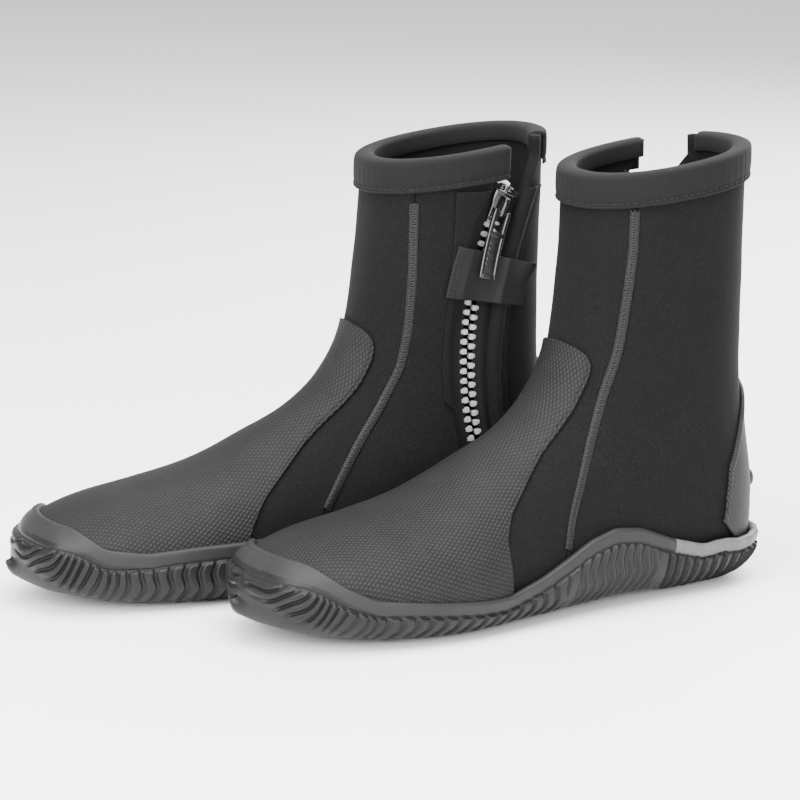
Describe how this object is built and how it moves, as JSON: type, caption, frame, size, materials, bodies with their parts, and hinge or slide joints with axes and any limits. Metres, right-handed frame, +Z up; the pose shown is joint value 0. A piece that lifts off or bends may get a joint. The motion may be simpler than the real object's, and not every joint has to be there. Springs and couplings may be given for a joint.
{
  "type": "neoprene boots",
  "caption": "Pair of ankle-high neoprene water boots with ribbed rubber soles, a zip up the inner ankle, a strap over the slider and a bound collar.",
  "frame": {"origin": "centre of the pair on the floor plane under the soles", "axes": "+X towards the toes, +Y to the wearer's left, +Z up"},
  "size_m": [0.3562, 0.218, 0.226],
  "materials": {
    "neoprene": "5 mm neoprene with a knitted face, matt",
    "sole_rubber": "moulded rubber, satin",
    "heel_rubber": "thin moulded rubber, matt",
    "coated_fabric": "rubberised fabric with a small diamond emboss",
    "board_fabric": "stitched board fabric",
    "footbed_foam": "soft foam with a fabric face",
    "binding_fabric": "stretch binding, matt",
    "thread": "overlocked thread",
    "zip_tape": "woven tape",
    "zip_teeth": "moulded teeth, light grey",
    "slider_plastic": "polished black plastic",
    "lining": "thin lined neoprene",
    "strap": "hook and loop strap, coated face",
    "label": "plain white woven label"
  },
  "bodies": {
    "right_boot": {"right_outsole": "sole_rubber", "right_strobel_board": "board_fabric", "right_insole": "footbed_foam", "right_front_panel": "neoprene", "right_back_panel": "neoprene", "right_inner_panel": "neoprene", "right_toe_overlay": "coated_fabric", "right_heel_overlay": "heel_rubber", "right_fin_strap_stop": "heel_rubber", "right_collar_binding": "binding_fabric", "right_outer_seam_thread": "thread", "right_inner_seam_thread": "thread", "right_zip_facing_front": "neoprene", "right_zip_facing_rear": "neoprene", "right_zip_tape_front": "zip_tape", "right_zip_tape_rear": "zip_tape", "right_zip_teeth_front": "zip_teeth", "right_zip_teeth_rear": "zip_teeth", "right_zip_top_stop_front": "slider_plastic", "right_zip_top_stop_rear": "slider_plastic", "right_zip_bottom_stop": "slider_plastic", "right_zip_gusset": "lining", "right_keeper_loop_patch": "strap", "right_care_label": "label"},
    "right_slider": {"right_zip_slider": "slider_plastic"},
    "right_pull_tab": {"right_zip_pull": "slider_plastic"},
    "right_strap": {"right_keeper_strap": "strap"},
    "left_boot": {"left_outsole": "sole_rubber", "left_strobel_board": "board_fabric", "left_insole": "footbed_foam", "left_front_panel": "neoprene", "left_back_panel": "neoprene", "left_inner_panel": "neoprene", "left_toe_overlay": "coated_fabric", "left_heel_overlay": "heel_rubber", "left_fin_strap_stop": "heel_rubber", "left_collar_binding": "binding_fabric", "left_outer_seam_thread": "thread", "left_inner_seam_thread": "thread", "left_zip_facing_front": "neoprene", "left_zip_facing_rear": "neoprene", "left_zip_tape_front": "zip_tape", "left_zip_tape_rear": "zip_tape", "left_zip_teeth_front": "zip_teeth", "left_zip_teeth_rear": "zip_teeth", "left_zip_top_stop_front": "slider_plastic", "left_zip_top_stop_rear": "slider_plastic", "left_zip_bottom_stop": "slider_plastic", "left_zip_gusset": "lining", "left_keeper_loop_patch": "strap", "left_care_label": "label"},
    "left_slider": {"left_zip_slider": "slider_plastic"},
    "left_pull_tab": {"left_zip_pull": "slider_plastic"},
    "left_strap": {"left_keeper_strap": "strap"}
  },
  "joints": [
    {"name": "left_boot_lift", "type": "slide", "parent": "right_boot", "child": "left_boot", "axis": [0, 0.2, 0.9798], "range_m": [0, 0.3]},
    {"name": "right_zip_travel", "type": "hinge", "parent": "right_boot", "child": "right_slider", "pos_m": [-0.23369, 0.02547, 0.112], "axis": [0.1392, 0.9903, 0], "range_deg": [0, 34]},
    {"name": "right_pull_swing", "type": "hinge", "parent": "right_slider", "child": "right_pull_tab", "pos_m": [-0.05892, 0.00792, 0.18734], "axis": [0.91, -0.1279, 0.3944], "range_deg": [0, 150]},
    {"name": "right_strap_open", "type": "hinge", "parent": "right_boot", "child": "right_strap", "pos_m": [-0.02913, 0.00394, 0.14663], "axis": [0.2245, -0.0958, -0.9698], "range_deg": [0, 110], "deforming": ["right_keeper_strap"]},
    {"name": "left_zip_travel", "type": "hinge", "parent": "left_boot", "child": "left_slider", "pos_m": [-0.30725, 0.02156, 0.112], "axis": [0, 1, 0], "range_deg": [0, 34]},
    {"name": "left_pull_swing", "type": "hinge", "parent": "left_slider", "child": "left_pull_tab", "pos_m": [-0.13173, 0.01461, 0.18734], "axis": [-0.9189, 0, -0.3944], "range_deg": [0, 150]},
    {"name": "left_strap_open", "type": "hinge", "parent": "left_boot", "child": "left_strap", "pos_m": [-0.10168, 0.01441, 0.14663], "axis": [-0.2357, -0.0636, 0.9698], "range_deg": [0, 110], "deforming": ["left_keeper_strap"]}
  ]
}
